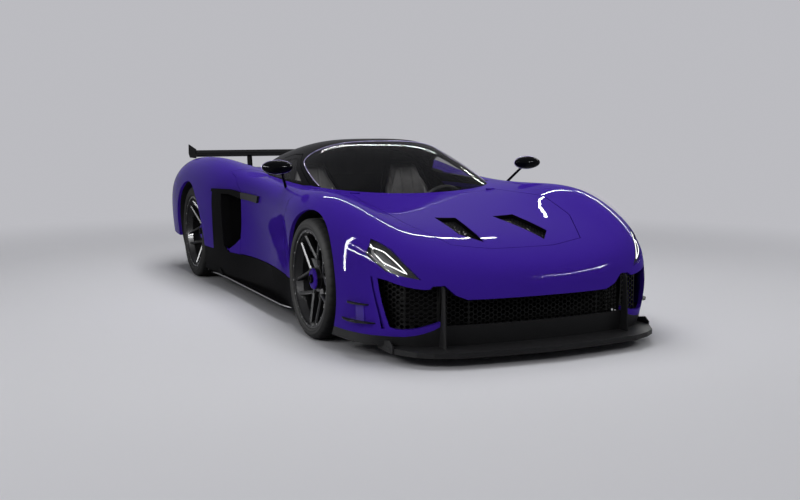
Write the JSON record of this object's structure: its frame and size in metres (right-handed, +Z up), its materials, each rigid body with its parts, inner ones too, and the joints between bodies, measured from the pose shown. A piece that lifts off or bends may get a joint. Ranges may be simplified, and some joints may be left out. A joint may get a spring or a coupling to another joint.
{
  "type": "mid-engined supercar",
  "caption": "Low two-seat mid-engined supercar with a bubble cabin, rear wing, front splitter, opening doors and lids, steering and free-turning wheels.",
  "frame": {"origin": "on the ground, midway along and across the car's bounding box", "axes": "+X to the car's left, -Y to its front, +Z up"},
  "size_m": [2.076, 4.75, 1.1199],
  "materials": {
    "body_paint": "gloss",
    "gloss_black": "gloss",
    "satin_carbon": "satin",
    "black_mesh": "matt",
    "tinted_glass": "gloss",
    "lamp_glass": "gloss",
    "lamp_housing": "gloss",
    "tail_lens": "gloss",
    "tyre": "matt",
    "rim_black": "satin",
    "disc_iron": "brushed",
    "knuckle_alloy": "satin",
    "subframe_steel": "satin",
    "floor_carbon": "satin",
    "engine_metal": "satin",
    "seat_leather": "soft",
    "trim_plastic": "matt"
  },
  "bodies": {
    "chassis": {"canards_left": "satin_carbon", "canards_right": "satin_carbon", "dashboard": "trim_plastic", "diffuser": "satin_carbon", "engine_block": "engine_metal", "floor_tub": "floor_carbon", "front_clam": "body_paint", "front_grille": "black_mesh", "front_splitter": "satin_carbon", "front_subframe": "subframe_steel", "headlight_housing_left": "lamp_housing", "headlight_housing_right": "lamp_housing", "headlight_lens_left": "lamp_glass", "headlight_lens_right": "lamp_glass", "knuckle_rear_left": "knuckle_alloy", "knuckle_rear_right": "knuckle_alloy", "rear_clam": "body_paint", "rear_panel": "black_mesh", "rear_subframe": "subframe_steel", "rear_wing": "gloss_black", "roof": "gloss_black", "seat_left": "seat_leather", "seat_right": "seat_leather", "side_intake_left": "satin_carbon", "side_intake_right": "satin_carbon", "side_skirt_left": "satin_carbon", "side_skirt_right": "satin_carbon", "tail_light": "tail_lens", "windscreen": "tinted_glass"},
    "wheel_front_left": {"tyre_front_left": "tyre", "rim_front_left": "rim_black", "brake_disc_front_left": "disc_iron"},
    "wheel_front_right": {"tyre_front_right": "tyre", "rim_front_right": "rim_black", "brake_disc_front_right": "disc_iron"},
    "wheel_rear_left": {"tyre_rear_left": "tyre", "rim_rear_left": "rim_black", "brake_disc_rear_left": "disc_iron"},
    "wheel_rear_right": {"tyre_rear_right": "tyre", "rim_rear_right": "rim_black", "brake_disc_rear_right": "disc_iron"},
    "steer_left": {"knuckle_front_left": "knuckle_alloy"},
    "door_left": {"door_left": "body_paint", "door_flap_left": "satin_carbon", "side_window_left": "tinted_glass", "mirror_left": "gloss_black"},
    "steer_right": {"knuckle_front_right": "knuckle_alloy"},
    "door_right": {"door_right": "body_paint", "door_flap_right": "satin_carbon", "side_window_right": "tinted_glass", "mirror_right": "gloss_black"},
    "bonnet": {"bonnet_lid": "body_paint", "bonnet_grille": "black_mesh"},
    "engine_cover": {"engine_lid": "gloss_black"},
    "steering": {"steering_wheel": "trim_plastic"}
  },
  "joints": [
    {"name": "steer_left", "type": "hinge", "parent": "chassis", "child": "steer_left", "pos_m": [0.805, -1.285, 0.347], "axis": [0, 0, 1], "range_deg": [-27, 27]},
    {"name": "steer_right", "type": "hinge", "parent": "chassis", "child": "steer_right", "pos_m": [-0.805, -1.285, 0.347], "axis": [0, 0, 1], "range_deg": [-27, 27]},
    {"name": "steering_wheel", "type": "hinge", "parent": "chassis", "child": "steering", "pos_m": [0.36, -0.33, 0.64], "axis": [0, 0.9207, 0.3903], "range_deg": [-324, 324]},
    {"name": "wheel_front_left", "type": "hinge", "parent": "steer_left", "child": "wheel_front_left", "pos_m": [0.8555, -1.285, 0.347], "axis": [1, 0, 0], "continuous": true},
    {"name": "wheel_front_right", "type": "hinge", "parent": "steer_right", "child": "wheel_front_right", "pos_m": [-0.8555, -1.285, 0.347], "axis": [1, 0, 0], "continuous": true},
    {"name": "wheel_rear_left", "type": "hinge", "parent": "chassis", "child": "wheel_rear_left", "pos_m": [0.8355, 1.415, 0.363], "axis": [1, 0, 0], "continuous": true},
    {"name": "wheel_rear_right", "type": "hinge", "parent": "chassis", "child": "wheel_rear_right", "pos_m": [-0.8355, 1.415, 0.363], "axis": [1, 0, 0], "continuous": true},
    {"name": "door_left", "type": "hinge", "parent": "chassis", "child": "door_left", "pos_m": [0.95, -0.7745, 0.5], "axis": [0, 0, -1], "range_deg": [0, 60]},
    {"name": "door_right", "type": "hinge", "parent": "chassis", "child": "door_right", "pos_m": [-0.95, -0.7745, 0.5], "axis": [0, 0, 1], "range_deg": [0, 60]},
    {"name": "bonnet", "type": "hinge", "parent": "chassis", "child": "bonnet", "pos_m": [0, -0.7975, 0.7952], "axis": [-1, 0, 0], "range_deg": [0, 55]},
    {"name": "engine_cover", "type": "hinge", "parent": "chassis", "child": "engine_cover", "pos_m": [0, 0.621, 1.06317], "axis": [1, 0, 0], "range_deg": [0, 50]}
  ],
  "couplings": [
    {"joint": "steer_right", "follows": "steer_left", "ratio": 1},
    {"joint": "steering_wheel", "follows": "steer_left", "ratio": 12}
  ]
}
